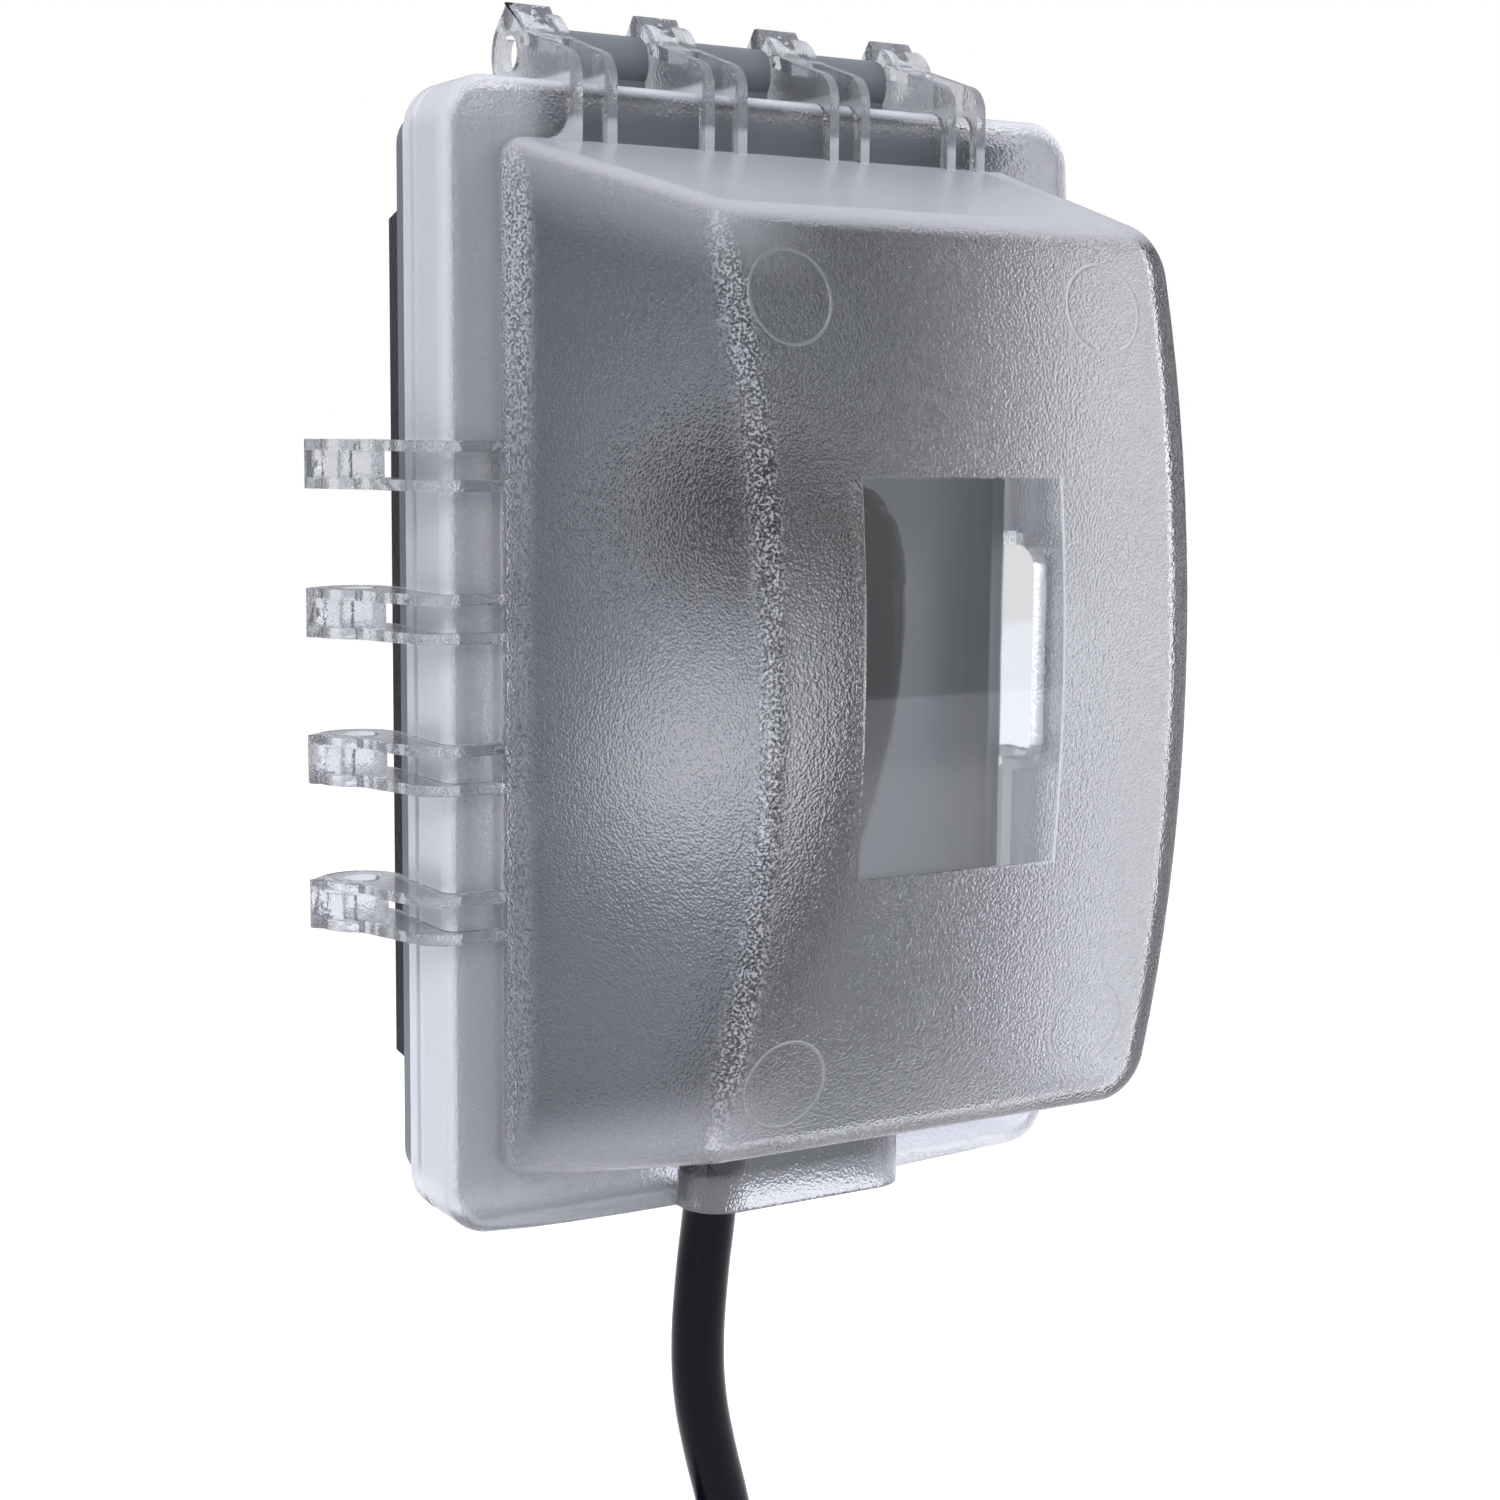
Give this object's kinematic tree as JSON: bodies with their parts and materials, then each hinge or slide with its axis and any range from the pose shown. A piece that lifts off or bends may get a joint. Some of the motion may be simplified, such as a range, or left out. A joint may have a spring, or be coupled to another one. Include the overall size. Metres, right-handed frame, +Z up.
{
  "type": "weatherproof outlet cover",
  "caption": "Clear hinged in-use cover on a grey base with a foam gasket, over an outdoor wall outlet with a corded plug in it.",
  "frame": {"origin": "midpoint of the two box screws, on the wall plane that the gasket's back face lies on", "axes": "+X to the right and +Z up as seen from in front, +Y into the wall"},
  "size_m": [0.1308, 0.0918, 0.3586],
  "materials": {
    "clear_lid": "clear polycarbonate, frosted dome",
    "grey_plastic": "satin grey",
    "foam": "black closed-cell foam",
    "screw_steel": "zinc plated",
    "insert_plastic": "satin grey",
    "outlet_plastic": "white",
    "outlet_back_plastic": "white",
    "strap_steel": "galvanised",
    "brass": "plain",
    "green_screw": "green",
    "black_moulding": "moulded vinyl",
    "cord_jacket": "vinyl jacket",
    "tie": "nylon"
  },
  "bodies": {
    "cover": {"base": "grey_plastic", "gasket": "foam", "hinge_bar": "grey_plastic", "hinge_screws": "screw_steel", "insert_plate": "insert_plastic", "plate_screw": "screw_steel", "box_screws": "screw_steel", "outlet_face": "outlet_plastic", "outlet_back": "outlet_back_plastic", "mounting_strap": "strap_steel", "hot_screws": "brass", "neutral_screws": "screw_steel", "ground_screw": "green_screw", "plug_body": "black_moulding", "plug_blades": "brass", "plug_ground_pin": "brass", "cord": "cord_jacket", "cord_coil": "cord_jacket", "coil_tie": "tie", "connector_body": "black_moulding"},
    "lid": {"lid": "clear_lid"}
  },
  "joints": [
    {"name": "lid_hinge", "type": "hinge", "parent": "cover", "child": "lid", "pos_m": [0, -0.008, 0.0834], "axis": [-1, 0, 0], "range_deg": [0, 105]}
  ]
}
